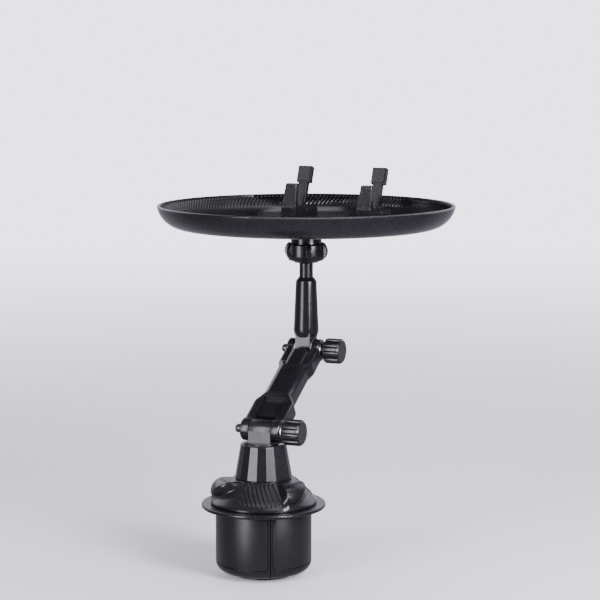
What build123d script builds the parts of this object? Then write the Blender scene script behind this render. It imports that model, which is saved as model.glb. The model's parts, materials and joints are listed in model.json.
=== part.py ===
from build123d import *
from math import atan2, cos, degrees, hypot, radians, sin, sqrt
import os

# Car phone mount: an expanding cup-holder base, a two-joint arm, a ball joint and a round tray with two
# phone clips. Millimetres. The origin is the centre of the base's underside, +Z is up, the tilt joints'
# axes lie along X and the arm leans towards +Y.

# ---------------------------------------------------------------------------- driving dimensions
clearance = 0.05              # radial play of every turning fit

cup_radius = 33.5             # closed jaws, the part that goes into a cup holder
jaw_top = 47.5
jaw_bottom = 2.8
jaw_wall = 2.6
jaw_fillet = 7.0
jaw_seam = 0.5
jaw_count = 4
first_jaw_azimuth = -13.0
jaw_travel = 8.0
dial_turn = 80.0

flange_radius = 43.4
flange_bottom = 47.8
flange_top = 50.6
hub_radius = 13.5
neck_radius = 12.95
hub_shoulder = 67.2
hub_top = 76.6

dial_radius = 37.0
dial_bottom = 51.0
dial_top = 68.4
dial_top_radius = 21.0
ear_count = 3
ear_azimuth = -40.0
ear_arc = 60.0

collar_bottom = 69.0
collar_top = 92.6
collar_bottom_radius = 20.0
collar_top_radius = 16.0
collar_sides = 18

lower_pivot = 101.6
arm_reach = 76.6
arm_rise = 45.9
upper_pivot = lower_pivot + arm_rise
arm_length = hypot(arm_reach, arm_rise)

lower_fork_half_width = 15.0
upper_fork_half_width = 12.7
fork_depth = 13.0
cheek_radius = 8.0
lower_slot_half_width = 8.4
upper_slot_half_width = 7.0
bolt_radius = 2.5
knob_radius = 9.1

sleeve_bottom = 156.0
sleeve_top = 200.5
stem_radius = 4.95
ball_radius = 9.0
ball_height = 218.1
liner_radius = 10.5

tray_radius = 107.5
tray_bottom = 236.5
tray_floor = 238.6
tray_rim = 253.0

clip_spread = 30.0            # each clip's distance from the tray's middle line
clip_front = 36.5             # from the tray's centre to the front of a clip
clip_length = 43.5
ledge_top = 247.2
rest_pivot_y = 59.5
rest_pivot_height = 244.0
rest_lean = 22.0

os.makedirs("parts", exist_ok=True)

arm_axis = Axis((0, arm_reach, 0), (0, 0, 1))
arm_direction = Vector(0, arm_reach / arm_length, arm_rise / arm_length)
arm_upward = Vector(0, -arm_rise / arm_length, arm_reach / arm_length)
tray_side = Plane(origin=(0, arm_reach, 0), x_dir=(1, 0, 0), z_dir=(0, -1, 0))


def save(part, name):
    """Label one finished piece and write its STEP file."""
    part.label = name
    export_step(part, f"parts/{name}.step")


def turned(profile, plane=Plane.XZ, axis=Axis.Z):
    """A solid of revolution from (radius, height) points."""
    with BuildPart() as piece:
        with BuildSketch(plane):
            with BuildLine():
                Polyline(*profile, close=True)
            make_face()
        revolve(axis=axis)
    return piece


def across(x, y, z):
    """A sketch plane facing +X, with its local x along +Y."""
    return Plane(origin=(x, y, z), x_dir=(0, 1, 0), z_dir=(1, 0, 0))


def jaw_azimuth(number):
    """The middle of jaw 0, 1, 2 or 3, seen from above."""
    return first_jaw_azimuth + number * 360 / jaw_count


# ---------------------------------------------------------------------------- base: core, cap, foot
guide_length = 16.5
guide_middle = 21.25
guide_bottom = 42.0
lip_top = 43.8
tongue_half_width = 6.0
rail_offset = 7.1
rail_width = 2.0
lip_width = 4.5
pin_radius = 2.0
pin_start = 19.0
cap_screw_circle = 8.8

core_profile = [
    (6.0, 4.4), (11.5, 4.4), (11.5, flange_bottom), (flange_radius, flange_bottom),
    (flange_radius, flange_top), (hub_radius, flange_top), (hub_radius, hub_shoulder),
    (neck_radius, hub_shoulder), (neck_radius, hub_top), (6.0, hub_top),
]
with BuildPart() as base_core:
    with BuildSketch(Plane.XZ):
        with BuildLine():
            Polyline(*core_profile, close=True)
        make_face()
    revolve(axis=Axis.Z)
    rim_edges = base_core.edges().filter_by(GeomType.CIRCLE).filter_by(
        lambda edge: abs(edge.radius - flange_radius) < 0.01)
    fillet(rim_edges, radius=1.2)
    with BuildSketch(Plane.XY.offset(flange_bottom)):
        with PolarLocations(pin_start + jaw_travel / 2, jaw_count, start_angle=first_jaw_azimuth):
            SlotCenterToCenter(jaw_travel, 2 * pin_radius + 0.2)
    extrude(amount=flange_top - flange_bottom, mode=Mode.SUBTRACT)
    with BuildSketch(Plane.XY.offset(guide_bottom)):
        with PolarLocations(guide_middle, jaw_count, start_angle=first_jaw_azimuth):
            with Locations((0, rail_offset), (0, -rail_offset)):
                Rectangle(guide_length, rail_width)
    extrude(amount=flange_bottom - guide_bottom)
    with BuildSketch(Plane.XY.offset(guide_bottom)):
        with PolarLocations(guide_middle, jaw_count, start_angle=first_jaw_azimuth):
            with Locations((0, rail_offset - 1.25), (0, 1.25 - rail_offset)):
                Rectangle(guide_length, lip_width)
    extrude(amount=lip_top - guide_bottom)
    with BuildSketch(Plane.XY.offset(4.4)):
        with PolarLocations(cap_screw_circle, 3):
            Circle(1.25)
    extrude(amount=10.0, mode=Mode.SUBTRACT)
save(base_core.part, "base_core")

cap_profile = [(0, 0.8), (22.0, 0.8), (22.0, 2.6), (12.0, 2.6), (12.0, 4.4), (0, 4.4)]
with BuildPart() as base_cap:
    add(turned(cap_profile).part)
    with BuildSketch(Plane.XY.offset(0.8)):
        with PolarLocations(cap_screw_circle, 3):
            Circle(1.4)
    extrude(amount=3.6, mode=Mode.SUBTRACT)
    with BuildSketch(Plane.XY.offset(0.8)):
        with PolarLocations(cap_screw_circle, 3):
            Circle(2.8)
    extrude(amount=1.8, mode=Mode.SUBTRACT)
save(base_cap.part, "base_cap")

with BuildPart() as foot_pad:
    with BuildSketch(Plane.XY):
        Circle(21.0)
    extrude(amount=0.8)
save(foot_pad.part, "foot_pad")

with BuildPart() as base_screws:
    with BuildSketch(Plane.XY.offset(1.0)):
        with PolarLocations(cap_screw_circle, 3):
            Circle(2.6)
    extrude(amount=1.6)
    with BuildSketch(Plane.XY.offset(2.6)):
        with PolarLocations(cap_screw_circle, 3):
            Circle(1.25)
    extrude(amount=11.4)
save(base_screws.part, "base_screws")

# ---------------------------------------------------------------------------- base: expanding jaws
corner = cup_radius - jaw_fillet
corner_height = jaw_bottom + jaw_fillet
inner_radius = cup_radius - jaw_wall
inner_fillet = jaw_fillet - jaw_wall
jaw_floor = jaw_bottom + jaw_wall
jaw_floor_start = 12.4
wedge_reach = 60.0
wedge_apex = jaw_seam / 2 * sqrt(2)
tongue_bottom = 44.0
tongue_top = 47.6
tongue_start = 14.4
tongue_length = 17.0
pin_top = 52.8

pad_depth = 1.0
pad_gap = 0.35
pad_corner = 3.0
pad_bottom = 9.9
pad_top = 45.6
pad_half_arc = 41.8


def pad_shell(depth, gap, corner_radius, azimuth):
    """A jaw's rubber inlay, or with a gap the pocket it sits in: a shell with rounded corners."""
    half_arc = pad_half_arc + degrees(gap / cup_radius)
    outer = cup_radius + (1.0 if gap > 0 else 0.0)
    with BuildPart(mode=Mode.PRIVATE) as shell:
        with BuildSketch(Plane.XZ.rotated((0, 0, azimuth - half_arc))):
            with Locations(((outer + cup_radius - depth) / 2, (pad_bottom + pad_top) / 2)):
                Rectangle(outer - cup_radius + depth, pad_top - pad_bottom + 2 * gap)
        revolve(axis=Axis.Z, revolution_arc=2 * half_arc)
        corners = shell.edges().filter_by(GeomType.LINE).filter_by(lambda edge: edge.length < 5)
        fillet(corners, radius=corner_radius)
    return shell.part


for number in range(jaw_count):
    azimuth = jaw_azimuth(number)
    sector = Plane.XY.rotated((0, 0, azimuth))
    with BuildPart() as jaw:
        with BuildSketch(Plane.XZ):
            with BuildLine():
                Line((jaw_floor_start, jaw_bottom), (corner, jaw_bottom))
                CenterArc((corner, corner_height), jaw_fillet, -90, 90)
                Line((cup_radius, corner_height), (cup_radius, jaw_top))
                Line((cup_radius, jaw_top), (inner_radius, jaw_top))
                Line((inner_radius, jaw_top), (inner_radius, corner_height))
                CenterArc((corner, corner_height), inner_fillet, 0, -90)
                Line((corner, jaw_floor), (jaw_floor_start, jaw_floor))
                Line((jaw_floor_start, jaw_floor), (jaw_floor_start, jaw_bottom))
            make_face()
        revolve(axis=Axis.Z)
        with BuildSketch(sector):
            with BuildLine():
                Polyline((wedge_apex, 0), (wedge_reach + wedge_apex, wedge_reach),
                         (wedge_reach + wedge_apex, -wedge_reach), close=True)
            make_face()
        extrude(amount=jaw_top + 1, mode=Mode.INTERSECT)
        with BuildSketch(sector.offset(tongue_bottom)):
            with Locations((tongue_start + tongue_length / 2, 0)):
                Rectangle(tongue_length, 2 * tongue_half_width)
        extrude(amount=tongue_top - tongue_bottom)
        with BuildSketch(sector.offset(tongue_bottom)):
            with Locations((pin_start, 0)):
                Circle(pin_radius)
        extrude(amount=tongue_top - tongue_bottom, mode=Mode.SUBTRACT)
        add(pad_shell(pad_depth, pad_gap, pad_corner + pad_gap, azimuth), mode=Mode.SUBTRACT)
    save(jaw.part, f"jaw_{number + 1}")

    save(pad_shell(pad_depth, 0.0, pad_corner, azimuth), f"jaw_pad_{number + 1}")

    with BuildPart() as follower_pin:
        with BuildSketch(sector.offset(tongue_bottom)):
            with Locations((pin_start, 0)):
                Circle(pin_radius)
        extrude(amount=pin_top - tongue_bottom)
        chamfer(follower_pin.edges().group_by(Axis.Z)[-1], length=0.3)
    save(follower_pin.part, f"follower_pin_{number + 1}")

# ---------------------------------------------------------------------------- dial, cam plate, screws
cam_bottom = 51.0
cam_top = 53.0
cam_radius = 31.8
cam_half_slot = pin_radius + clearance
cam_steps = 12
dial_screw_circle = 27.5
dial_screw_shift = -15.0


def spiral_radius(turn):
    """The cam slot's middle line, which moves the pins outwards as the dial turns."""
    return pin_start - jaw_travel * turn / dial_turn


def spiral_point(azimuth, turn, side):
    """A point on a slot's middle line (side 0) or on its outer (1) or inner (-1) edge."""
    radius = spiral_radius(turn)
    slope = -jaw_travel / radians(dial_turn)
    heading = radians(azimuth + turn)
    tangent = Vector(slope * cos(heading) - radius * sin(heading),
                     slope * sin(heading) + radius * cos(heading)).normalized()
    outward = Vector(tangent.Y, -tangent.X)
    return Vector(radius * cos(heading), radius * sin(heading)) + outward * cam_half_slot * side


with BuildPart() as cam_plate:
    with BuildSketch(Plane.XY.offset(cam_bottom)):
        Circle(cam_radius)
        Circle(hub_radius + clearance, mode=Mode.SUBTRACT)
        for number in range(jaw_count):
            turns = [-dial_turn * step / cam_steps for step in range(cam_steps + 1)]
            outer = [spiral_point(jaw_azimuth(number), turn, 1) for turn in turns]
            inner = [spiral_point(jaw_azimuth(number), turn, -1) for turn in turns]
            start = spiral_point(jaw_azimuth(number), turns[0], 0)
            end = spiral_point(jaw_azimuth(number), turns[-1], 0)
            start_normal = (outer[0] - inner[0]).normalized()
            end_normal = (outer[-1] - inner[-1]).normalized()
            start_tip = start + Vector(-start_normal.Y, start_normal.X) * cam_half_slot
            end_tip = end - Vector(-end_normal.Y, end_normal.X) * cam_half_slot
            with BuildLine():
                Spline(*outer)
                ThreePointArc(outer[-1], end_tip, inner[-1])
                Spline(*inner)
                ThreePointArc(outer[0], start_tip, inner[0])
            make_face(mode=Mode.SUBTRACT)
    extrude(amount=cam_top - cam_bottom)
    with BuildSketch(Plane.XY.offset(cam_bottom)):
        with PolarLocations(dial_screw_circle, jaw_count, start_angle=first_jaw_azimuth + dial_screw_shift):
            Circle(1.1)
    extrude(amount=cam_top - cam_bottom, mode=Mode.SUBTRACT)
    with BuildSketch(Plane.XY.offset(cam_bottom)):
        with PolarLocations(dial_screw_circle, jaw_count, start_angle=first_jaw_azimuth + dial_screw_shift):
            Circle(2.1)
    extrude(amount=1.2, mode=Mode.SUBTRACT)
save(cam_plate.part, "cam_plate")

with BuildPart() as dial_screws:
    with BuildSketch(Plane.XY.offset(cam_bottom + 0.1)):
        with PolarLocations(dial_screw_circle, jaw_count, start_angle=first_jaw_azimuth + dial_screw_shift):
            Circle(2.0)
    extrude(amount=1.1)
    with BuildSketch(Plane.XY.offset(cam_bottom + 1.2)):
        with PolarLocations(dial_screw_circle, jaw_count, start_angle=first_jaw_azimuth + dial_screw_shift):
            Circle(1.1)
    extrude(amount=5.4)
save(dial_screws.part, "dial_screws")

# The dial is turned at its ears' full height, then cut back to a cone between the ears. Each ear stands up
# steeply at its first edge and runs down to the cone along its length.
ear_shoulder = 27.2
ear_corner = dial_radius - ear_shoulder
ear_flat_arc = 17.0
cone_foot = 53.0
cut_reach = 60.0
dial_profile_top = dial_top - ear_corner
ramp_start = Vector(ear_shoulder * cos(radians(ear_flat_arc)), ear_shoulder * sin(radians(ear_flat_arc)),
                    dial_top + 1.2)
ramp_foot = Vector(dial_radius * cos(radians(ear_arc)), dial_radius * sin(radians(ear_arc)), cone_foot + 0.4)
ramp_head = Vector(dial_top_radius * cos(radians(ear_arc)), dial_top_radius * sin(radians(ear_arc)),
                   dial_top + 0.2)
ramp_normal = (ramp_foot - ramp_start).cross(ramp_head - ramp_start).normalized()
if ramp_normal.Z < 0:
    ramp_normal = ramp_normal * -1

with BuildPart() as cone_cutter:
    with BuildSketch(Plane.XZ.rotated((0, 0, ear_arc))):
        with BuildLine():
            Polyline((dial_radius + 0.4, cone_foot - 0.4), (dial_top_radius - 0.6, dial_top + 0.6),
                     (dial_radius + 2.0, dial_top + 0.6), (dial_radius + 2.0, cone_foot - 0.4), close=True)
        make_face()
    revolve(axis=Axis.Z, revolution_arc=360 / ear_count - ear_arc)

with BuildPart() as ramp_cutter:
    with BuildSketch(Plane(origin=ramp_start, z_dir=ramp_normal)):
        Rectangle(4 * cut_reach, 4 * cut_reach)
    extrude(amount=cut_reach)
    with BuildSketch(Plane.XY.offset(cone_foot - 1)):
        with BuildLine():
            Polyline((0, 0), (cut_reach, 0),
                     (cut_reach * cos(radians(ear_arc + 0.2)), cut_reach * sin(radians(ear_arc + 0.2))), close=True)
        make_face()
    extrude(amount=2 * cut_reach, mode=Mode.INTERSECT)

with BuildPart() as dial:
    with BuildSketch(Plane.XZ):
        with BuildLine():
            Line((dial_radius, dial_bottom), (dial_radius, dial_profile_top))
            CenterArc((ear_shoulder, dial_profile_top), ear_corner, 0, 90)
            Polyline((ear_shoulder, dial_top), (hub_radius + clearance, dial_top),
                     (hub_radius + clearance, 56.6), (16.0, 56.6), (16.0, 65.5), (20.6, 65.5), (32.0, 54.2),
                     (32.0, dial_bottom), (dial_radius, dial_bottom))
        make_face()
    revolve(axis=Axis.Z)
    with PolarLocations(0, ear_count, start_angle=ear_azimuth):
        add(cone_cutter.part, mode=Mode.SUBTRACT)
    with PolarLocations(0, ear_count, start_angle=ear_azimuth):
        add(ramp_cutter.part, mode=Mode.SUBTRACT)
    with BuildSketch(Plane.XY.offset(cam_top)):
        with PolarLocations(dial_screw_circle, jaw_count, start_angle=first_jaw_azimuth + dial_screw_shift):
            Circle(3.0)
    extrude(amount=5.6)
    with BuildSketch(Plane.XY.offset(cam_top)):
        with PolarLocations(dial_screw_circle, jaw_count, start_angle=first_jaw_azimuth + dial_screw_shift):
            Circle(1.1)
    extrude(amount=4.8, mode=Mode.SUBTRACT)
save(dial.part, "dial")

slip_washer = turned([(13.7, 68.45), (19.0, 68.45), (19.0, 68.9), (13.7, 68.9)])
save(slip_washer.part, "slip_washer")

# ---------------------------------------------------------------------------- lock collar and swivel
shank_radius = 11.25
foot_bottom = 77.8
foot_top = 81.8
collar_shoulder = 82.95
collar_bevel = 0.6

collar_bore = [
    (0, collar_bottom), (neck_radius + 2 * clearance, collar_bottom),
    (neck_radius + 2 * clearance, collar_shoulder), (shank_radius + clearance, collar_shoulder),
    (shank_radius + clearance, collar_top), (0, collar_top),
]
with BuildPart() as lock_collar:
    with BuildSketch(Plane.XY.offset(collar_bottom)):
        RegularPolygon(collar_bottom_radius, collar_sides)
    with BuildSketch(Plane.XY.offset(collar_top - collar_bevel)):
        RegularPolygon(collar_top_radius, collar_sides)
    loft()
    with BuildSketch(Plane.XY.offset(collar_top - collar_bevel)):
        RegularPolygon(collar_top_radius, collar_sides)
    with BuildSketch(Plane.XY.offset(collar_top)):
        RegularPolygon(collar_top_radius - collar_bevel, collar_sides)
    loft()
    add(turned(collar_bore).part, mode=Mode.SUBTRACT)
save(lock_collar.part, "lock_collar")

lower_tongue_half_width = 8.3
lower_tongue_radius = 7.5
swivel_profile = [
    (0, foot_bottom), (neck_radius - clearance, foot_bottom), (neck_radius - clearance, foot_top),
    (shank_radius, foot_top), (shank_radius, collar_top + 0.3), (0, collar_top + 0.3),
]
with BuildPart() as swivel_post:
    add(turned(swivel_profile).part)
    with BuildSketch(across(-lower_tongue_half_width, 0, lower_pivot)):
        Circle(lower_tongue_radius)
        with Locations((0, (collar_top - lower_pivot) / 2 + 0.1)):
            Rectangle(2 * lower_tongue_radius, lower_pivot - collar_top - 0.2)
    extrude(amount=2 * lower_tongue_half_width)
    with BuildSketch(across(-lower_tongue_half_width, 0, lower_pivot)):
        Circle(bolt_radius + clearance)
    extrude(amount=2 * lower_tongue_half_width, mode=Mode.SUBTRACT)
save(swivel_post.part, "swivel_post")

friction_washer = turned([(6.2, hub_top), (12.8, hub_top), (12.8, foot_bottom), (6.2, foot_bottom)])
save(friction_washer.part, "swivel_friction_washer")

thrust_washer = turned([
    (shank_radius + 0.15, foot_top), (12.85, foot_top), (12.85, 82.8), (shank_radius + 0.15, 82.8)])
save(thrust_washer.part, "swivel_thrust_washer")

# ---------------------------------------------------------------------------- arm link
bar_width = 21.6
bar_depth = 17.5
slot_end = 9.2
recess_end = 27.0
web_half_depth = 4.7
bar_start = 31.5
bar_stop = arm_length - 27.5
rib_stop = arm_length - 10.0
# pivot y and z; distances along the arm of the pivot, the fork's root and the bar's end; half widths
link_ends = (
    (0.0, lower_pivot, 0.0, 24.0, bar_start, lower_fork_half_width, lower_slot_half_width),
    (arm_reach, upper_pivot, arm_length, arm_length - 21.0, bar_stop, upper_fork_half_width,
     upper_slot_half_width),
)


def along_arm(distance, height=0.0):
    """A plane across the arm, at a distance from the lower pivot; its normal runs along the arm."""
    origin = Vector(0, 0, lower_pivot) + arm_direction * distance + arm_upward * height
    return Plane(origin=origin, x_dir=(1, 0, 0), z_dir=arm_direction)


def over_arm(distance, height):
    """A plane over the arm, facing the arm's upper side; local x runs along the arm."""
    origin = Vector(0, 0, lower_pivot) + arm_direction * distance + arm_upward * height
    return Plane(origin=origin, x_dir=arm_direction, z_dir=arm_upward)


def cheek_profile(half_width):
    """The (radius, along-axis) outline of a fork's round end, with its edges broken."""
    return [
        (0, -half_width), (cheek_radius - 0.9, -half_width), (cheek_radius, 0.9 - half_width),
        (cheek_radius, half_width - 0.9), (cheek_radius - 0.9, half_width), (0, half_width),
    ]


with BuildPart() as link:
    with BuildSketch(along_arm(bar_start)):
        RectangleRounded(bar_width, bar_depth, 6.0)
    extrude(amount=bar_stop - bar_start)
    for pivot_y, pivot_z, pivot, fork_side, bar_side, half_width, slot_half_width in link_ends:
        with BuildSketch(along_arm(min(pivot, fork_side))):
            RectangleRounded(2 * half_width, fork_depth, 2.4)
        extrude(amount=abs(fork_side - pivot))
        with BuildSketch(along_arm(fork_side)):
            RectangleRounded(2 * half_width, fork_depth, 2.4)
        with BuildSketch(along_arm(bar_side)):
            RectangleRounded(bar_width, bar_depth, 6.0)
        loft()
        pivot_plane = Plane(origin=(0, pivot_y, pivot_z), x_dir=(0, 0, 1), z_dir=(0, 1, 0))
        pivot_axis = Axis((0, pivot_y, pivot_z), (1, 0, 0))
        add(turned(cheek_profile(half_width), pivot_plane, pivot_axis).part)
    for pivot_y, pivot_z, pivot, fork_side, bar_side, half_width, slot_half_width in link_ends:
        inwards = 1 if fork_side > pivot else -1
        slot_middle = pivot + inwards * (slot_end - cheek_radius - 1) / 2
        recess_middle = pivot + inwards * (slot_end + recess_end) / 2
        with BuildSketch(over_arm(slot_middle, -cheek_radius - 1)):
            Rectangle(slot_end + cheek_radius + 1, 2 * slot_half_width)
        extrude(amount=2 * cheek_radius + 2, mode=Mode.SUBTRACT)
        for height, depth in ((web_half_depth, 8.0), (-web_half_depth, -8.0)):
            with BuildSketch(over_arm(recess_middle, height)):
                Rectangle(recess_end - slot_end, 2 * slot_half_width)
            extrude(amount=depth, mode=Mode.SUBTRACT)
        with BuildSketch(across(-half_width - 1, pivot_y, pivot_z)):
            Circle(bolt_radius + clearance)
        extrude(amount=2 * half_width + 2, mode=Mode.SUBTRACT)
    with BuildSketch(along_arm(bar_stop - 1.0)):
        RectangleRounded(2 * upper_slot_half_width + 1.0, bar_depth, 5.0)
    extrude(amount=rib_stop - bar_stop + 1.0)
save(link.part, "link")

# ---------------------------------------------------------------------------- clamp bolts and knobs
washer_thickness = 0.8
knob_chamfer = 1.2
flute_count = 12
nut_length = 4.0
nut_across_corners = 4.6
bolt_head_radius = 3.1
bolt_head_length = 6.0
# name, pivot y and z, fork half width, start and end of the knob's body
clamps = (
    ("lower", 0.0, lower_pivot, lower_fork_half_width, 17.2, 29.7),
    ("upper", arm_reach, upper_pivot, upper_fork_half_width, 16.3, 28.4),
)

for name, pivot_y, pivot_z, half_width, body_start, knob_end in clamps:
    neck_start = half_width + washer_thickness + 0.1
    nut_start = body_start + 1.0
    bolt_end = knob_end - 2.0
    with BuildPart() as bolt:
        with BuildSketch(across(-half_width, pivot_y, pivot_z)):
            Circle(bolt_radius)
        extrude(amount=half_width + bolt_end)
        with BuildSketch(across(-half_width, pivot_y, pivot_z)):
            Circle(bolt_head_radius)
        extrude(amount=-bolt_head_length)
        fillet(bolt.edges().group_by(Axis.X)[0], radius=2.2)
    save(bolt.part, f"{name}_clamp_bolt")

    with BuildPart() as knob:
        with BuildSketch(across(neck_start, pivot_y, pivot_z)):
            Circle(6.0)
        extrude(amount=body_start - neck_start)
        with BuildSketch(across(body_start, pivot_y, pivot_z)):
            Circle(knob_radius)
        extrude(amount=knob_end - body_start)
        chamfer(knob.edges().group_by(Axis.X)[-1], length=knob_chamfer)
        with BuildSketch(across(body_start, pivot_y, pivot_z)):
            with PolarLocations(knob_radius + 0.7, flute_count):
                Circle(1.6)
        extrude(amount=knob_end - body_start, mode=Mode.SUBTRACT)
        with BuildSketch(across(neck_start, pivot_y, pivot_z)):
            Circle(bolt_radius + clearance)
        extrude(amount=bolt_end + 0.6 - neck_start, mode=Mode.SUBTRACT)
        with BuildSketch(across(nut_start, pivot_y, pivot_z)):
            RegularPolygon(nut_across_corners, 6)
        extrude(amount=nut_length, mode=Mode.SUBTRACT)
    save(knob.part, f"{name}_knob")

    with BuildPart() as nut:
        with BuildSketch(across(nut_start, pivot_y, pivot_z)):
            RegularPolygon(nut_across_corners, 6)
            Circle(bolt_radius + clearance, mode=Mode.SUBTRACT)
        extrude(amount=nut_length)
    save(nut.part, f"{name}_knob_nut")

with BuildPart() as clamp_washers:
    for name, pivot_y, pivot_z, half_width, body_start, knob_end in clamps:
        with BuildSketch(across(half_width, pivot_y, pivot_z)):
            Circle(6.5)
            Circle(bolt_radius + clearance, mode=Mode.SUBTRACT)
        extrude(amount=washer_thickness)
save(clamp_washers.part, "clamp_washers")

# ---------------------------------------------------------------------------- sleeve and ball stem
upper_tongue_half_width = 5.6
upper_tongue_radius = 7.0
stem_bottom = 175.8
sleeve_profile = [
    (0, sleeve_bottom), (6.2, sleeve_bottom + 0.3), (8.2, 157.8), (9.1, 161.3), (7.5, 197.9),
    (5.4, sleeve_top), (stem_radius, sleeve_top), (stem_radius, stem_bottom), (0, stem_bottom),
]
with BuildPart() as stem_sleeve:
    add(turned(sleeve_profile, tray_side, arm_axis).part)
    with BuildSketch(across(-upper_tongue_half_width, arm_reach, upper_pivot)):
        Circle(upper_tongue_radius)
        with Locations((0, upper_tongue_radius)):
            Rectangle(2 * upper_tongue_radius, 2 * upper_tongue_radius)
    extrude(amount=2 * upper_tongue_half_width)
    with BuildSketch(across(-upper_tongue_half_width, arm_reach, upper_pivot)):
        Circle(bolt_radius + clearance)
    extrude(amount=2 * upper_tongue_half_width, mode=Mode.SUBTRACT)
save(stem_sleeve.part, "stem_sleeve")

with BuildPart() as tongue_washers:
    for side in (-upper_slot_half_width + 0.05, upper_tongue_half_width + 0.05):
        with BuildSketch(across(side, arm_reach, upper_pivot)):
            Circle(upper_tongue_radius)
            Circle(bolt_radius + clearance, mode=Mode.SUBTRACT)
        extrude(amount=upper_slot_half_width - upper_tongue_half_width - 0.1)
save(tongue_washers.part, "tongue_washers")

with BuildPart() as ball_stem:
    with BuildSketch(Plane((0, arm_reach, stem_bottom))):
        Circle(stem_radius)
    extrude(amount=ball_height - stem_bottom)
    with Locations((0, arm_reach, ball_height)):
        Sphere(ball_radius)
save(ball_stem.part, "ball_stem")

# ---------------------------------------------------------------------------- ball joint
for name, first_angle, arc in (("upper_ball_seat", 15, 67), ("lower_ball_seat", -7, -27)):
    inner_seat = ball_radius + clearance
    with BuildPart() as seat:
        with BuildSketch(tray_side):
            with BuildLine():
                inner_arc = CenterArc((0, ball_height), inner_seat, first_angle, arc)
                outer_arc = CenterArc((0, ball_height), liner_radius, first_angle, arc)
                Line(inner_arc @ 0, outer_arc @ 0)
                Line(inner_arc @ 1, outer_arc @ 1)
            make_face()
        revolve(axis=arm_axis)
    save(seat.part, name)

socket_bore = liner_radius + clearance
socket_skirt = 217.8
thread_radius = 12.9
nut_top = 224.9
socket_neck = 11.1
plate_bottom = 233.0
plate_radius = 20.0
plate_screw_circle = 15.5

with BuildPart() as ball_socket:
    with BuildSketch(tray_side):
        with BuildLine():
            Line((0, ball_height + socket_bore), (0, tray_bottom))
            Polyline((0, tray_bottom), (plate_radius, tray_bottom), (plate_radius, plate_bottom),
                     (socket_neck, plate_bottom), (socket_neck, nut_top - 0.5),
                     (thread_radius, nut_top - 0.5), (thread_radius, socket_skirt),
                     (socket_bore, socket_skirt), (socket_bore, ball_height))
            CenterArc((0, ball_height), socket_bore, 0, 90)
        make_face()
    revolve(axis=arm_axis)
    with BuildSketch(Plane((0, arm_reach, plate_bottom))):
        with PolarLocations(plate_screw_circle, 4, start_angle=45):
            Circle(1.25)
    extrude(amount=tray_bottom - plate_bottom, mode=Mode.SUBTRACT)
save(ball_socket.part, "ball_socket")

# The lock nut carries six coin-shaped grips.
nut_mouth_angle = 41.0
nut_mouth_height = ball_height - socket_bore * sin(radians(nut_mouth_angle))
nut_mouth_radius = socket_bore * cos(radians(nut_mouth_angle))
grip_radius = 6.9
grip_middle = 9.5
grip_height = 219.8
grip_thickness = 3.6
grip_count = 6
with BuildPart() as ball_nut:
    with BuildSketch(tray_side):
        with BuildLine():
            CenterArc((0, ball_height), socket_bore, -nut_mouth_angle, nut_mouth_angle - 2)
            Polyline((socket_bore * cos(radians(2)), ball_height - socket_bore * sin(radians(2))),
                     (thread_radius + clearance, 217.6), (thread_radius + clearance, nut_top),
                     (13.9, nut_top), (14.3, nut_top - 0.6), (14.3, 216.0), (12.4, 212.8),
                     (9.6, 212.2), (nut_mouth_radius + 0.5, nut_mouth_height),
                     (nut_mouth_radius, nut_mouth_height))
        make_face()
    revolve(axis=arm_axis)
    for number in range(grip_count):
        heading = number * 360 / grip_count
        radial = Vector(cos(radians(heading)), sin(radians(heading)), 0)
        sideways = Vector(sin(radians(heading)), -cos(radians(heading)), 0)
        middle = Vector(0, arm_reach, 0) - sideways * grip_thickness / 2
        with BuildSketch(Plane(origin=middle, x_dir=radial, z_dir=sideways)):
            with Locations((grip_middle, grip_height)):
                Circle(grip_radius)
            with Locations((thread_radius / 2 + 0.2, grip_height)):
                Rectangle(thread_radius + 0.4, 2 * grip_radius, mode=Mode.SUBTRACT)
        extrude(amount=grip_thickness)
save(ball_nut.part, "ball_lock_nut")

# ---------------------------------------------------------------------------- tray
clip_screw_rows = (arm_reach + clip_front + 5.0, arm_reach + clip_front + 37.0)
clip_screw_places = [(side * clip_spread, row) for side in (-1, 1) for row in clip_screw_rows]
with BuildPart() as tray:
    with BuildSketch(tray_side):
        with BuildLine():
            Line((0, tray_floor), (0, tray_bottom))
            Line((0, tray_bottom), (89.5, tray_bottom))
            ThreePointArc((89.5, tray_bottom), (101.6, 241.5), (tray_radius, 251.9))
            ThreePointArc((tray_radius, 251.9), (106.3, tray_rim), (105.1, 251.9))
            ThreePointArc((105.1, 251.9), (99.9, 243.2), (88.8, tray_floor))
            Line((88.8, tray_floor), (0, tray_floor))
        make_face()
    revolve(axis=arm_axis)
    with BuildSketch(Plane((0, arm_reach, tray_bottom))):
        with PolarLocations(plate_screw_circle, 4, start_angle=45):
            Circle(1.4)
    extrude(amount=tray_floor - tray_bottom, mode=Mode.SUBTRACT)
    with BuildSketch(Plane((0, arm_reach, tray_floor - 1.4))):
        with PolarLocations(plate_screw_circle, 4, start_angle=45):
            Circle(2.7)
    extrude(amount=1.4, mode=Mode.SUBTRACT)
    with BuildSketch(Plane.XY.offset(tray_bottom)):
        with Locations(*clip_screw_places):
            Circle(1.4)
    extrude(amount=tray_floor - tray_bottom, mode=Mode.SUBTRACT)
    with BuildSketch(Plane.XY.offset(tray_bottom)):
        with Locations(*clip_screw_places):
            Circle(2.7)
    extrude(amount=1.4, mode=Mode.SUBTRACT)
save(tray.part, "tray")

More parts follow.
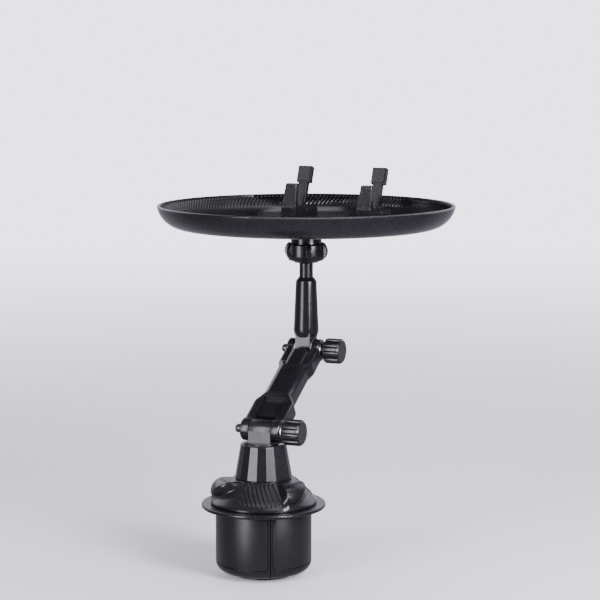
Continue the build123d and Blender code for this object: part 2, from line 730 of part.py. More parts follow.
with BuildPart() as socket_screws:
    with BuildSketch(Plane((0, arm_reach, tray_floor - 1.4))):
        with PolarLocations(plate_screw_circle, 4, start_angle=45):
            Circle(2.5)
    extrude(amount=1.3)
    with BuildSketch(Plane((0, arm_reach, plate_bottom + 0.2))):
        with PolarLocations(plate_screw_circle, 4, start_angle=45):
            Circle(1.25)
    extrude(amount=tray_floor - 1.4 - plate_bottom - 0.2)
save(socket_screws.part, "socket_screws")

with BuildPart() as clip_screws:
    with BuildSketch(Plane.XY.offset(tray_bottom + 0.1)):
        with Locations(*clip_screw_places):
            Circle(2.5)
    extrude(amount=1.3)
    with BuildSketch(Plane.XY.offset(tray_bottom + 1.4)):
        with Locations(*clip_screw_places):
            Circle(1.25)
    extrude(amount=4.2)
save(clip_screws.part, "clip_screws")

# ---------------------------------------------------------------------------- phone clips
clip_half_width = 5.6
clip_wall = 2.1
hook_top = 264.6
hook_foot_depth = 5.6
hook_tip_depth = 3.2
hook_lean = 6.0
hook_half_tip = 4.2
pad_thickness = 1.6
channel_start = 55.0
rest_length = 34.0
rest_thickness = 4.6
rest_half_width = clip_half_width - clip_wall - 0.1
paddle_start = 21.5
rest_pin_radius = 1.25
base_end = clip_front + clip_length

lean = radians(rest_lean)
rest_up = Vector(0, sin(lean), cos(lean))
rest_back = Vector(0, cos(lean), -sin(lean))

for name, side in (("left", -1), ("right", 1)):
    clip_x = side * clip_spread
    with BuildPart() as clip_base:
        with BuildSketch(across(clip_x - clip_half_width, arm_reach, 0)):
            with BuildLine():
                Polyline((clip_front, tray_floor), (base_end, tray_floor), (base_end, ledge_top - 2.6),
                         (base_end - 2.6, ledge_top), (clip_front + hook_foot_depth + pad_thickness, ledge_top),
                         (clip_front + hook_foot_depth, ledge_top),
                         (clip_front + hook_lean + hook_tip_depth, hook_top),
                         (clip_front + hook_lean, hook_top), (clip_front, ledge_top), close=True)
            make_face()
        extrude(amount=2 * clip_half_width)
        with BuildSketch(Plane.XY.offset(tray_floor + 2.0)):
            with Locations((clip_x, arm_reach + (channel_start + base_end + 1) / 2)):
                Rectangle(2 * (clip_half_width - clip_wall), base_end + 1 - channel_start)
        extrude(amount=12.0, mode=Mode.SUBTRACT)
        for edge_side in (-1, 1):
            foot = clip_x + edge_side * clip_half_width
            tip = clip_x + edge_side * hook_half_tip
            outside = clip_x + edge_side * (clip_half_width + 1)
            with BuildSketch(Plane(origin=(0, arm_reach + clip_front - 1, 0), x_dir=(1, 0, 0),
                                   z_dir=(0, -1, 0))):
                with BuildLine():
                    Polyline((foot, ledge_top), (tip, hook_top + 0.1), (outside, hook_top + 0.1),
                             (outside, ledge_top), close=True)
                make_face()
            extrude(amount=-(hook_foot_depth + hook_lean + 4), mode=Mode.SUBTRACT)
        with BuildSketch(across(clip_x - clip_half_width, arm_reach + rest_pivot_y, rest_pivot_height)):
            Circle(rest_pin_radius)
        extrude(amount=2 * clip_half_width, mode=Mode.SUBTRACT)
        with BuildSketch(Plane.XY.offset(tray_floor)):
            with Locations(*[place for place in clip_screw_places if place[0] * side > 0]):
                Circle(1.25)
        extrude(amount=4.0, mode=Mode.SUBTRACT)
    save(clip_base.part, f"clip_base_{name}")

    with BuildPart() as hook_pad:
        with BuildSketch(across(clip_x - hook_half_tip, arm_reach, 0)):
            with BuildLine():
                Polyline((clip_front + hook_foot_depth, ledge_top),
                         (clip_front + hook_foot_depth + pad_thickness, ledge_top),
                         (clip_front + hook_lean + hook_tip_depth + pad_thickness, hook_top),
                         (clip_front + hook_lean + hook_tip_depth, hook_top), close=True)
            make_face()
        extrude(amount=2 * hook_half_tip)
    save(hook_pad.part, f"hook_pad_{name}")

    pivot = Vector(clip_x, arm_reach + rest_pivot_y, rest_pivot_height)
    with BuildPart() as rest:
        with BuildSketch(Plane(origin=pivot - Vector(rest_half_width, 0, 0), x_dir=rest_up,
                               z_dir=(1, 0, 0))):
            Circle(rest_thickness / 2)
            with Locations((rest_length / 2, 0)):
                Rectangle(rest_length, rest_thickness)
        extrude(amount=2 * rest_half_width)
        with BuildSketch(Plane(origin=pivot - Vector(clip_half_width, 0, 0), x_dir=rest_up,
                               z_dir=(1, 0, 0))):
            with Locations(((paddle_start + rest_length) / 2, 0)):
                Rectangle(rest_length - paddle_start, rest_thickness)
        extrude(amount=2 * clip_half_width)
        with BuildSketch(across(clip_x - rest_half_width, arm_reach + rest_pivot_y, rest_pivot_height)):
            Circle(rest_pin_radius + clearance)
        extrude(amount=2 * rest_half_width, mode=Mode.SUBTRACT)
    save(rest.part, f"phone_rest_{name}")

    with BuildPart() as rest_pad:
        face = pivot + rest_up * (paddle_start + rest_length) / 2 - rest_back * rest_thickness / 2
        with BuildSketch(Plane(origin=face, x_dir=(1, 0, 0), z_dir=-rest_back)):
            RectangleRounded(2 * clip_half_width - 1.4, rest_length - paddle_start - 1.4, 1.2)
        extrude(amount=1.0)
    save(rest_pad.part, f"rest_pad_{name}")

    with BuildPart() as rest_pin:
        with BuildSketch(across(clip_x - clip_half_width + 0.2, arm_reach + rest_pivot_y, rest_pivot_height)):
            Circle(rest_pin_radius)
        extrude(amount=2 * clip_half_width - 0.4)
    save(rest_pin.part, f"rest_pin_{name}")
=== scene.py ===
"""Car phone mount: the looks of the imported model, with its materials, detailed pieces, studio and camera."""

import json
import math

import bmesh
import bpy
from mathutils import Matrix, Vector


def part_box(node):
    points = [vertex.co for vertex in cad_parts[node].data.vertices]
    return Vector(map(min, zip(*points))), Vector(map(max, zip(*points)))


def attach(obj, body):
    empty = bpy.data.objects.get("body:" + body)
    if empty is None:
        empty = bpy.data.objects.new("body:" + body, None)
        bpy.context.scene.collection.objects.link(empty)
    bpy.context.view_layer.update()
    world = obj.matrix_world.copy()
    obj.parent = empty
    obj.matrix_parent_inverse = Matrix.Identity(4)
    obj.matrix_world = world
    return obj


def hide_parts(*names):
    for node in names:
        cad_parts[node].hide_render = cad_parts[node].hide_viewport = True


MM = 0.001

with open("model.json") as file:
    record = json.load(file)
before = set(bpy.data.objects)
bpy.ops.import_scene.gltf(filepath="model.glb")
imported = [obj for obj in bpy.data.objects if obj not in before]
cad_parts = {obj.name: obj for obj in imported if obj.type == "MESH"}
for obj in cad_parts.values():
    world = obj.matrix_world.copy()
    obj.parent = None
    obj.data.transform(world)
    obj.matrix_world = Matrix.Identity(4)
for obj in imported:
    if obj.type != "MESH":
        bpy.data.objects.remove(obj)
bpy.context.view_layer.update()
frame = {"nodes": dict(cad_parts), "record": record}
nodes = frame["nodes"]


# ------------------------------------------------------------------ camera, metres and degrees
CAMERA_PLACE = (0.5536, -1.2391, 0.3685)
CAMERA_DOWN = 7.38
CAMERA_ROUND = 23.0
CAMERA_LENS = 119.1  # millimetres, on a sensor 36 mm wide


def make_camera():
    """A long lens, a little above the object and to the right of the hinges' front."""
    data = bpy.data.cameras.new("camera")
    data.lens = CAMERA_LENS
    data.sensor_width = 36.0
    data.clip_start = 0.05
    data.clip_end = 50.0
    camera = bpy.data.objects.new("camera", data)
    bpy.context.scene.collection.objects.link(camera)
    camera.location = CAMERA_PLACE
    camera.rotation_euler = (math.radians(90.0 - CAMERA_DOWN), 0.0, math.radians(CAMERA_ROUND))
    bpy.context.scene.camera = camera


make_camera()


# ------------------------------------------------------------------ materials
DRIFT_SCALE = 60.0  # slow colour changes, waves per metre
SMEAR_SCALE = 180.0  # finer gloss changes, waves per metre
TINT_RANGE = (0.35, 0.65)  # the noise values that give the darker and the lighter tint
SMEAR_RANGE = (0.3, 0.7)  # the noise values that give the glossiest and the dullest skin
GLOSS_CHANGE = (-0.02, 0.03)  # how much those two add to the roughness
EDGE_RANGE = (0.53, 0.62)  # the pointiness at which rubbing starts and is complete
GRAIN_STRENGTH = 0.25


def node_of(tree, kind, **values):
    """Add a shader node and set its plain attributes and input values."""
    node = tree.nodes.new(kind)
    for name, value in values.items():
        if hasattr(node, name):
            setattr(node, name, value)
        else:
            node.inputs[name.replace("_", " ")].default_value = value
    return node


def tint_of(tree, fac, colour, mottle):
    """A colour that drifts a little to both sides of the given one."""
    tint = node_of(tree, "ShaderNodeValToRGB")
    for element, position, change in zip(tint.color_ramp.elements, TINT_RANGE, (-mottle, mottle)):
        element.position = position
        element.color = (*[channel * (1.0 + change) for channel in colour], 1.0)
    tree.links.new(fac, tint.inputs["Fac"])
    return tint.outputs["Color"]


def rubbed_edges(tree, base, colour, wear):
    """The base colour, with convex edges rubbed paler."""
    geometry = node_of(tree, "ShaderNodeNewGeometry")
    edge = node_of(tree, "ShaderNodeMapRange")
    edge.inputs["From Min"].default_value, edge.inputs["From Max"].default_value = EDGE_RANGE
    edge.inputs["To Max"].default_value = wear
    tree.links.new(geometry.outputs["Pointiness"], edge.inputs["Value"])
    rubbed = node_of(tree, "ShaderNodeMix", data_type="RGBA")
    rubbed.inputs["B"].default_value = (*[channel * 2.2 + 0.01 for channel in colour], 1.0)
    tree.links.new(edge.outputs["Result"], rubbed.inputs["Factor"])
    tree.links.new(base, rubbed.inputs["A"])
    return rubbed.outputs["Result"]


def plastic(name, colour, roughness, grain_size, grain_depth, mottle=0.10, metallic=0.0, wear=0.35):
    """A moulded surface: spark-eroded grain (mm), uneven gloss, slight colour drift and rubbed edges."""
    material = bpy.data.materials.new(name)
    material.use_nodes = True
    tree = material.node_tree
    shader = tree.nodes["Principled BSDF"]
    shader.inputs["Metallic"].default_value = metallic
    place = node_of(tree, "ShaderNodeTexCoord")

    drift = node_of(tree, "ShaderNodeTexNoise", Scale=DRIFT_SCALE, Detail=3.0, Roughness=0.6)
    grain = node_of(tree, "ShaderNodeTexNoise", Scale=1.0 / (grain_size * MM), Detail=2.0, Roughness=0.5)
    smears = node_of(tree, "ShaderNodeTexNoise", Scale=SMEAR_SCALE, Detail=4.0, Roughness=0.65)
    for texture in (drift, grain, smears):
        tree.links.new(place.outputs["Object"], texture.inputs["Vector"])

    tint = tint_of(tree, drift.outputs["Fac"], colour, mottle)
    tree.links.new(rubbed_edges(tree, tint, colour, wear), shader.inputs["Base Color"])

    gloss = node_of(tree, "ShaderNodeMapRange")
    gloss.inputs["From Min"].default_value, gloss.inputs["From Max"].default_value = SMEAR_RANGE
    gloss.inputs["To Min"].default_value = roughness + GLOSS_CHANGE[0]
    gloss.inputs["To Max"].default_value = roughness + GLOSS_CHANGE[1]
    tree.links.new(smears.outputs["Fac"], gloss.inputs["Value"])
    tree.links.new(gloss.outputs["Result"], shader.inputs["Roughness"])

    relief = node_of(tree, "ShaderNodeBump", Strength=GRAIN_STRENGTH, Distance=grain_depth * MM)
    tree.links.new(grain.outputs["Fac"], relief.inputs["Height"])
    tree.links.new(relief.outputs["Normal"], shader.inputs["Normal"])
    return material


BLACK = (0.0075, 0.0077, 0.0092)
NYLON = (0.010, 0.0102, 0.012)
RUBBER = (0.0085, 0.0086, 0.0098)
ACETAL = (0.62, 0.61, 0.56)
GUNMETAL = (0.05, 0.05, 0.055)
ZINC = (0.52, 0.53, 0.55)
satin = plastic("satin_black_plastic", BLACK, 0.25, 0.45, 0.003)
jaw_skin = plastic("textured_black_plastic", BLACK, 0.32, 0.5, 0.015)
tray_skin = plastic("smooth_black_plastic", BLACK, 0.26, 0.6, 0.003)
nylon = plastic("dark_nylon", NYLON, 0.28, 0.6, 0.015, mottle=0.35)
rubber = plastic("black_rubber", RUBBER, 0.38, 0.4, 0.015, wear=0.1)
acetal = plastic("natural_acetal", ACETAL, 0.35, 0.8, 0.01, mottle=0.06, wear=0.0)
blackened = plastic("blackened_steel", GUNMETAL, 0.32, 0.4, 0.02, metallic=0.7)
steel = plastic("zinc_plated_steel", ZINC, 0.30, 0.5, 0.015, mottle=0.12, metallic=1.0, wear=0.1)

MATERIAL_OF_SLOT = {
    "satin_abs": satin,
    "tray_abs": tray_skin,
    "jaw_abs": jaw_skin,
    "nylon": nylon,
    "acetal": acetal,
    "rubber_black": rubber,
    "steel_black": blackened,
    "steel": steel,
}
SLOT_OF_NODE = {part["node"]: part["material_slot"] for part in frame["record"]["subparts"]}


# ------------------------------------------------------------------ edges of the CAD nodes
EDGE_WIDTH = {  # millimetres
    "link": 1.3, "lock_collar": 0.35, "swivel_post": 0.5, "stem_sleeve": 0.4, "ball_lock_nut": 0.35,
    "ball_socket": 0.4, "lower_knob": 0.35, "upper_knob": 0.35,
}
EDGE_WIDTH_BY_START = {  # the pads come before the jaws, whose names start the same way
    "jaw_pad_": 0.25, "jaw_": 0.6, "clip_base_": 0.4, "phone_rest_": 0.4, "hook_pad_": 0.3,
}


def edge_width(name):
    """How far a node's edges are softened, in millimetres: by its own name, or by how its name starts."""
    if name in EDGE_WIDTH:
        return EDGE_WIDTH[name]
    for start, width in EDGE_WIDTH_BY_START.items():
        if name.startswith(start):
            return width
    return 0.0


def soften_edges(item, width):
    """Round a CAD node's sharp edges with modifiers, after joining its triangles into whole faces."""
    weld = item.modifiers.new("weld", "WELD")
    weld.merge_threshold = 0.002 * MM
    flatten = item.modifiers.new("flatten", "DECIMATE")
    flatten.decimate_type = "DISSOLVE"
    flatten.angle_limit = math.radians(0.4)
    soften = item.modifiers.new("soften", "BEVEL")
    soften.limit_method = "ANGLE"
    soften.angle_limit = math.radians(28.0)
    soften.width = width * MM
    soften.segments = 3


for node_name, node_item in nodes.items():
    for place in node_item.material_slots:
        place.material = MATERIAL_OF_SLOT[SLOT_OF_NODE[node_name]]
    if edge_width(node_name) > 0.0:
        soften_edges(node_item, edge_width(node_name))


# ------------------------------------------------------------------ tools for the detailed pieces
SHARP_EDGE = 32.0  # degrees


def skin(name, loops, body, material, closed=True):
    """A solid through equal closed loops of points (mm): joined into a ring, or capped at both ends."""
    mesh = bpy.data.meshes.new(name)
    shape = bmesh.new()
    rings = [[shape.verts.new(Vector(point) * MM) for point in loop] for loop in loops]
    following_rings = rings[1:] + rings[:1] if closed else rings[1:]
    for ring, following in zip(rings, following_rings):
        for index in range(len(ring)):
            after = (index + 1) % len(ring)
            shape.faces.new((ring[index], ring[after], following[after], following[index]))
    if not closed:
        shape.faces.new(rings[0])
        shape.faces.new(rings[-1])
    bmesh.ops.recalc_face_normals(shape, faces=shape.faces)
    for face in shape.faces:
        face.smooth = True
    for edge in shape.edges:
        edge.smooth = edge.calc_face_angle(0.0) < math.radians(SHARP_EDGE)
    shape.to_mesh(mesh)
    shape.free()
    mesh.materials.append(material)
    piece = bpy.data.objects.new(name, mesh)
    bpy.context.scene.collection.objects.link(piece)
    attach(piece, body)
    return piece


def smooth_step(value):
    """A ramp from 0 to 1 with soft ends."""
    value = min(max(value, 0.0), 1.0)
    return value * value * (3.0 - 2.0 * value)


def fade(value, start, width):
    """A soft-ended ramp from 0 at start to 1 a width past it, or before it where the width is negative."""
    return smooth_step((value - start) / width)


def between(start, end, share):
    """The point that far from start to end."""
    return tuple(near + (far - near) * share for near, far in zip(start, end))


def crest(turns):
    """A wave from 0 to 1 that peaks at whole turns."""
    return 0.5 + 0.5 * math.cos(2.0 * math.pi * turns)


# ------------------------------------------------------------------ dial, millimetres and degrees
# Points are (radius, height). A turn is counted from the ear's start, and a share runs from top ring to lip.
DIAL_CONE_TOP = (21.0, 68.4)
DIAL_CONE_FOOT = (36.4, 53.2)
EAR_PITCH = 120.0
EAR_START = -40.5  # the first ear's azimuth
EAR_SHOULDER = 27.2  # the radius at which an ear's flat top starts to bend down
EAR_RADIUS = 37.0
RISE_TURN = 90.0  # past this turn the surface belongs to the next ear's rising front
FRONT_HALF_WIDTH = (1.4, 4.6)  # of the ear's front: at the top, and how much more at the lip
CREASE_TURN = 41.0  # where the crease behind the knurled band starts, at the top
CREASE_FOOT = 0.90  # the share at which it has run back to the ear's start
CREASE_CURVE = 2.6
CREASE_FALL = (0.84, 11.0)  # the ear's height lost right behind the crease, and within how many degrees
RAMP_FALL = (0.16, 6.0, 20.0)  # the rest of it, from how far behind the crease, and within how many degrees
RIB_START = 62.0
RIB_END = 118.0
RIB_CREST = 66.5  # where the first rib starts, at the top
RIB_SWEEP = 19.0  # how far it has swung round at the lip
RIB_SPACING = (7.4, 2.6)  # at the top, and how much less at the lip
RIB_HEIGHT = 0.80
KNURL_HEIGHT = 0.08
KNURL_SPACING = 2.4
KNURL_ROWS = 12.0
RELIEF_OUT = 0.707  # how much of the relief goes outwards, and how much up
RELIEF_UP = 0.5
DIAL_UNDERSIDE = (
    (EAR_RADIUS, 52.4), (EAR_RADIUS, 51.2), (36.8, 51.0), (32.0, 51.05), (32.0, 54.2), (20.6, 65.4),
    (16.0, 65.4), (16.0, 56.7), (13.6, 56.7), (13.6, 68.4), (17.0, 68.4),
)
DIAL_COLUMNS = 720
DIAL_ROWS = 76


def ear_outline(share):
    """The point on an ear's full outline: a flat top, a round shoulder and an upright drop to the lip."""
    corner = EAR_RADIUS - EAR_SHOULDER
    top = DIAL_CONE_TOP[1]
    flat = EAR_SHOULDER - DIAL_CONE_TOP[0]
    bend = corner * math.pi / 2
    drop = top - corner - DIAL_CONE_FOOT[1]
    run = share * (flat + bend + drop)
    if run < flat:
        return (DIAL_CONE_TOP[0] + run, top)
    if run < flat + bend:
        angle = (run - flat) / corner
        return (EAR_SHOULDER + corner * math.sin(angle), top - corner + corner * math.cos(angle))
    return (EAR_RADIUS, top - corner - (run - flat - bend))


def crease_turn(share):
    """Where the ear's knurled band ends in a crease."""
    return CREASE_TURN * (1.0 - min(share / CREASE_FOOT, 1.0) ** CREASE_CURVE)


def ear_fullness(turn, share):
    """How far the surface stands from the plain cone (0) to the ear's full outline (1)."""
    half_width = FRONT_HALF_WIDTH[0] + FRONT_HALF_WIDTH[1] * fade(share, 0.45, 0.55)
    past_front = turn - EAR_PITCH if turn > RISE_TURN else turn
    rise = min(max((past_front + half_width) / (2.0 * half_width), 0.0), 1.0)
    rise = 0.6 * rise + 0.4 * smooth_step(rise)
    if turn > RISE_TURN:
        return rise
    past_crease = turn - crease_turn(share)
    crease_loss, crease_width = CREASE_FALL
    ramp_loss, ramp_start, ramp_width = RAMP_FALL
    fall = 1.0 - crease_loss * fade(past_crease, 0.0, crease_width)
    fall -= ramp_loss * fade(past_crease, ramp_start, ramp_width)
    return rise * fall


def dial_relief(turn, share):
    """How far the dial's swirl ribs and knurl stand out."""
    ribs = fade(turn, RIB_START, 6.0) * fade(turn, RIB_END, -3.0)
    ribs *= fade(share, 0.02, 0.08) * fade(share, 0.97, -0.24)
    wave = crest((turn - RIB_CREST - RIB_SWEEP * share) / (RIB_SPACING[0] - RIB_SPACING[1] * share))
    knurl = fade(turn, 1.0, 2.0) * fade(turn, crease_turn(share), -2.0)
    for slant in (KNURL_ROWS, -KNURL_ROWS):
        knurl *= math.sin(2.0 * math.pi * (turn / KNURL_SPACING + share * slant))
    return RIB_HEIGHT * ribs * wave ** 1.4 + KNURL_HEIGHT * knurl


def make_dial():
    """The dial with its swept ears, swirl ribs, knurled ear tops and rounded lip."""
    loops = []
    for column in range(DIAL_COLUMNS):
        azimuth = 360.0 * column / DIAL_COLUMNS
        turn = (azimuth - EAR_START) % EAR_PITCH
        outline = []
        for row in range(DIAL_ROWS + 1):
            share = row / DIAL_ROWS
            cone = between(DIAL_CONE_TOP, DIAL_CONE_FOOT, share)
            radius, height = between(cone, ear_outline(share), ear_fullness(turn, share))
            relief = dial_relief(turn, share)
            radius += relief * RELIEF_OUT
            height += relief * RELIEF_UP * smooth_step(share * 6.0)
            outline.append((radius, height))
        outline.extend(DIAL_UNDERSIDE)
        heading = math.radians(azimuth)
        east, north = math.cos(heading), math.sin(heading)
        loops.append([(radius * east, radius * north, height) for radius, height in outline])
    dial = skin("dial_shell", loops, "dial", satin)
    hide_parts("dial")


# ------------------------------------------------------------------ tray's ribs, millimetres
# The (radius, height) of three points on the wall's inner face: at its rim, half-way and at its foot.
TRAY_WALL = ((105.1, 251.9), (99.9, 243.2), (88.8, 238.6))
TRAY_BAND_ENDS = (0.3, 0.6)  # how far the band's top and foot lie below the first two of them
TRAY_RIB_COUNT = 216
TRAY_RIB_DEPTH = 1.0
TRAY_RIB_SLANT = 2.4  # ribs passed from the band's top to its foot
TRAY_RIB_ROWS = 14
TRAY_RIB_SAMPLES = 8
TRAY_BAND_RISE = 0.02  # how far the band stands out between its ribs
TRAY_BAND_BACK = 0.35  # how deep the band's back lies in the wall


def circle_through(first, second, third):
    """The centre and radius of the circle through three points."""
    (ax, ay), (bx, by), (cx, cy) = first, second, third
    scale = 2.0 * (ax * (by - cy) + bx * (cy - ay) + cx * (ay - by))
    a_square, b_square, c_square = ax * ax + ay * ay, bx * bx + by * by, cx * cx + cy * cy
    centre_x = (a_square * (by - cy) + b_square * (cy - ay) + c_square * (ay - by)) / scale
    centre_y = (a_square * (cx - bx) + b_square * (ax - cx) + c_square * (bx - ax)) / scale
    return (centre_x, centre_y), math.hypot(ax - centre_x, ay - centre_y)


def make_tray_ribs():
    """The band of slanted ribs moulded round the inside of the tray's wall, just under its rim."""
    tray_low, tray_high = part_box("tray")
    middle_x = (tray_low.x + tray_high.x) / 2 / MM
    middle_y = (tray_low.y + tray_high.y) / 2 / MM
    (centre_r, centre_z), bend = circle_through(*TRAY_WALL)
    first, last = (math.atan2(height - gap - centre_z, radius - centre_r)
                   for (radius, height), gap in zip(TRAY_WALL, TRAY_BAND_ENDS))
    loops = []
    for column in range(TRAY_RIB_COUNT * TRAY_RIB_SAMPLES):
        turn = column / TRAY_RIB_SAMPLES
        section = []
        for row in range(TRAY_RIB_ROWS + 1):
            share = row / TRAY_RIB_ROWS
            ends = fade(share, 0.0, 0.10) * fade(share, 1.0, -0.55)
            rib = crest(turn - TRAY_RIB_SLANT * share) ** 1.3
            reach = bend - ends * (TRAY_RIB_DEPTH * rib + TRAY_BAND_RISE)
            section.append((reach, first + (last - first) * share))
        section.append((bend + TRAY_BAND_BACK, last))
        section.append((bend + TRAY_BAND_BACK, first))
        heading = 2.0 * math.pi * turn / TRAY_RIB_COUNT
        east, north = math.cos(heading), math.sin(heading)
        loop = []
        for reach, angle in section:
            radius = centre_r + reach * math.cos(angle)
            height = centre_z + reach * math.sin(angle)
            loop.append((middle_x + radius * east, middle_y + radius * north, height))
        loops.append(loop)
    skin("tray_rib_band", loops, "tray", tray_skin)


# ------------------------------------------------------------------ hooks' ribs, millimetres
CLIP_SPREAD = 30.0  # from the tray's middle to each clip's
HOOK_LEDGE = 8.6  # where the hook starts to lean back, above its foot
HOOK_HALF_WIDTH = (5.5, 4.15)  # of the ribs: up to the ledge, and at the top
HOOK_LEAN = 6.0  # from the ledge to the hook's top
HOOK_FOOT_GAP = 0.6  # plain stretches under and over the ribs
HOOK_TOP_GAP = 0.5
HOOK_RIB_PAIRS = 3.0  # ribs on each side of the middle one, the outermost cut in half by the edge
HOOK_RIB_DEPTH = 0.32
HOOK_SKIN_BACK = 0.4  # how deep the ribs' back lies in the hook
HOOK_RIB_SAMPLES = 48
HOOK_LEVELS = 11  # in each of the two stretches


def make_hook_ribs(side, name):
    """Upright ribs on the front of a phone clip's hook."""
    hook_low, hook_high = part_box(f"clip_base_{name}")
    front, floor_z, top_z = hook_low.y / MM, hook_low.z / MM, hook_high.z / MM
    ledge_z = floor_z + HOOK_LEDGE
    full_lean = HOOK_LEAN * (1.0 - HOOK_TOP_GAP / (top_z - ledge_z))
    foot = (floor_z + HOOK_FOOT_GAP, 0.0, HOOK_HALF_WIDTH[0])
    ledge = (ledge_z, 0.0, HOOK_HALF_WIDTH[0])
    top = (top_z - HOOK_TOP_GAP, full_lean, HOOK_HALF_WIDTH[1])
    middle = side * CLIP_SPREAD
    levels = [between(foot, ledge, step / HOOK_LEVELS) for step in range(HOOK_LEVELS)]
    levels += [between(ledge, top, step / HOOK_LEVELS) for step in range(HOOK_LEVELS + 1)]
    loops = []
    for height, lean, half_width in levels:
        loop = []
        for index in range(HOOK_RIB_SAMPLES + 1):
            across = -1.0 + 2.0 * index / HOOK_RIB_SAMPLES
            rib = crest(HOOK_RIB_PAIRS * across) * fade(abs(across), 1.0, -0.08)
            loop.append((middle + across * half_width, front + lean - HOOK_RIB_DEPTH * rib, height))
        loop.append((middle + half_width, front + lean + HOOK_SKIN_BACK, height))
        loop.append((middle - half_width, front + lean + HOOK_SKIN_BACK, height))
        loops.append(loop)
    skin(f"hook_ribs_{name}", loops, "tray", satin, closed=False)


make_dial()
make_tray_ribs()
make_hook_ribs(-1, "left")
make_hook_ribs(1, "right")


# ------------------------------------------------------------------ studio, metres
PAPER = (0.80, 0.785, 0.84)
BACKDROP = (3.00, 2.91, 3.26, 1.0)
LAMP_COLOUR = (0.97, 0.95, 1.03)
LAVENDER = (0.98, 0.955, 1.12)
TO_FAR_SIDE = (-0.39, 0.92, 0.0)  # level, away from the camera
# (place, brightness): from the camera's side round to the far side, and from right below to right above
SURROUND_BY_SIDE = ((0.30, 0.045), (0.56, 0.13), (0.84, 0.42), (0.955, 0.50), (0.985, 1.20))
SURROUND_BY_HEIGHT = ((0.0, 0.45), (0.25, 0.24), (0.42, 0.0), (0.60, 0.0), (0.80, 0.08), (1.0, 0.30))
# name, azimuth and elevation in degrees, distance and size in metres, power in watts
SOFT_BOXES = (
    ("left_soft_box", -111.0, 12.0, 1.5, (0.46, 1.5), 25.0),
    ("right_soft_box", -25.0, 23.0, 1.0, (0.30, 0.76), 21.0),
    ("back_soft_box", 150.0, 32.0, 1.6, (1.1, 1.1), 6.0),
    ("rear_fill", 72.0, 28.0, 1.6, (1.0, 1.0), 4.0),
    ("top_soft_box", 60.0, 75.0, 1.6, (1.6, 1.2), 15.0),
)
LAMPS_AIM = Vector((0.0, 0.03, 0.12))
FLAG_ENDS = ((-0.111, 0.135), (0.036, 0.197))
FLAG_HEIGHTS = (0.250, 0.350)


def soft_box(name, azimuth, elevation, distance, size, power):
    """An area light that shines at the object from that direction, and that the camera doesn't see."""
    data = bpy.data.lights.new(name, "AREA")
    data.shape = "RECTANGLE"
    data.size, data.size_y = size
    data.energy = power
    data.color = LAMP_COLOUR
    lamp = bpy.data.objects.new(name, data)
    bpy.context.scene.collection.objects.link(lamp)
    heading, height = math.radians(azimuth), math.radians(elevation)
    level = math.cos(height)
    away = Vector((math.cos(heading) * level, math.sin(heading) * level, math.sin(height)))
    lamp.location = LAMPS_AIM + away * distance
    lamp.rotation_euler = (lamp.location - LAMPS_AIM).to_track_quat("Z", "Y").to_euler()
    lamp.visible_camera = False


def pale_floor():
    """Matt pale paper that fades into the backdrop away from the object."""
    material = plastic("pale_floor", PAPER, 0.65, 1.5, 0.01, mottle=0.01, wear=0.0)
    tree = material.node_tree
    paper = tree.nodes["Principled BSDF"]
    paper.inputs["Emission Color"].default_value = (*PAPER, 1.0)
    paper.inputs["Emission Strength"].default_value = 0.25
    place = node_of(tree, "ShaderNodeTexCoord")
    reach = node_of(tree, "ShaderNodeVectorMath", operation="LENGTH")
    fade = node_of(tree, "ShaderNodeMapRange", interpolation_type="SMOOTHSTEP")
    fade.inputs["From Min"].default_value = 0.25
    fade.inputs["From Max"].default_value = 2.4
    clear = node_of(tree, "ShaderNodeBsdfTransparent")
    mixed = node_of(tree, "ShaderNodeMixShader")
    for start, end in (
        (place.outputs["Object"], reach.inputs[0]),
        (reach.outputs["Value"], fade.inputs["Value"]),
        (fade.outputs["Result"], mixed.inputs["Fac"]),
        (paper.outputs["BSDF"], mixed.inputs[1]),
        (clear.outputs["BSDF"], mixed.inputs[2]),
        (mixed.outputs["Shader"], tree.nodes["Material Output"].inputs["Surface"]),
    ):
        tree.links.new(start, end)
    return material


def ramp_of(tree, stops):
    """A colour ramp of greys with a touch of lavender, from (position, value) stops."""
    ramp = node_of(tree, "ShaderNodeValToRGB")
    elements = ramp.color_ramp.elements
    elements[0].position, elements[1].position = stops[0][0], stops[-1][0]
    for position, value in stops[1:-1]:
        elements.new(position)
    for element, (position, value) in zip(elements, stops):
        element.position = position
        element.color = (*[value * channel for channel in LAVENDER], 1.0)
    return ramp


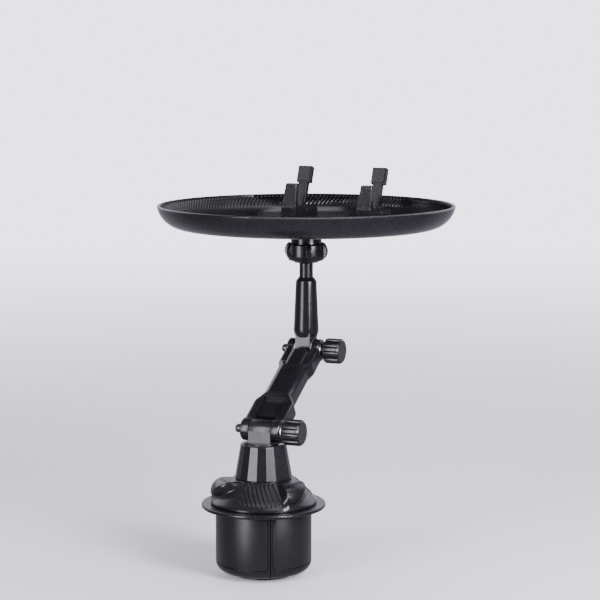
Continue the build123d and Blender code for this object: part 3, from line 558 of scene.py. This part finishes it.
def make_surround():
    """The world: an even pale backdrop, and a surround for reflections that is dim on the camera's side."""
    world = bpy.data.worlds.new("studio")
    bpy.context.scene.world = world
    world.use_nodes = True
    tree = world.node_tree
    backdrop = tree.nodes["Background"]
    backdrop.inputs["Color"].default_value = BACKDROP
    backdrop.inputs["Strength"].default_value = 1.0
    surround = node_of(tree, "ShaderNodeBackground")
    path = node_of(tree, "ShaderNodeLightPath")
    choose = node_of(tree, "ShaderNodeMixShader")
    place = node_of(tree, "ShaderNodeTexCoord")
    behind = node_of(tree, "ShaderNodeVectorMath", operation="DOT_PRODUCT")
    behind.inputs[1].default_value = TO_FAR_SIDE
    remap = node_of(tree, "ShaderNodeMapRange")
    remap.inputs["From Min"].default_value = -1.0
    shade = ramp_of(tree, SURROUND_BY_SIDE)
    split = node_of(tree, "ShaderNodeSeparateXYZ")
    lift = node_of(tree, "ShaderNodeMapRange")
    lift.inputs["From Min"].default_value = -1.0
    height = ramp_of(tree, SURROUND_BY_HEIGHT)
    total = node_of(tree, "ShaderNodeMix", data_type="RGBA", blend_type="LIGHTEN")
    total.inputs["Factor"].default_value = 1.0
    for start, end in (
        (place.outputs["Generated"], behind.inputs[0]),
        (behind.outputs["Value"], remap.inputs["Value"]),
        (remap.outputs["Result"], shade.inputs["Fac"]),
        (place.outputs["Generated"], split.inputs["Vector"]),
        (split.outputs["Z"], lift.inputs["Value"]),
        (lift.outputs["Result"], height.inputs["Fac"]),
        (shade.outputs["Color"], total.inputs["A"]),
        (height.outputs["Color"], total.inputs["B"]),
        (total.outputs["Result"], surround.inputs["Color"]),
        (path.outputs["Is Camera Ray"], choose.inputs["Fac"]),
        (surround.outputs["Background"], choose.inputs[1]),
        (backdrop.outputs["Background"], choose.inputs[2]),
        (choose.outputs["Shader"], tree.nodes["World Output"].inputs["Surface"]),
    ):
        tree.links.new(start, end)


def make_floor():
    """The pale floor, which the object doesn't reflect."""
    bpy.ops.mesh.primitive_plane_add(size=8.0, location=(0.0, 0.0, 0.0))
    floor = bpy.context.object
    floor.name = "floor"
    floor.data.materials.append(pale_floor())
    floor.visible_glossy = False
    floor.visible_shadow = False


def make_flag():
    """A dark card that stands behind the tray's far rim and darkens what the tray reflects there."""
    first, last = FLAG_ENDS
    foot, top = FLAG_HEIGHTS
    corners = ((*first, foot), (*last, foot), (*last, top), (*first, top))
    mesh = bpy.data.meshes.new("flag")
    mesh.from_pydata(corners, [], [(0, 1, 2, 3)])
    mesh.materials.append(rubber)
    flag = bpy.data.objects.new("dark_flag", mesh)
    bpy.context.scene.collection.objects.link(flag)
    flag.visible_camera = False
    flag.visible_diffuse = False


make_surround()
make_floor()
make_flag()
for settings in SOFT_BOXES:
    soft_box(*settings)
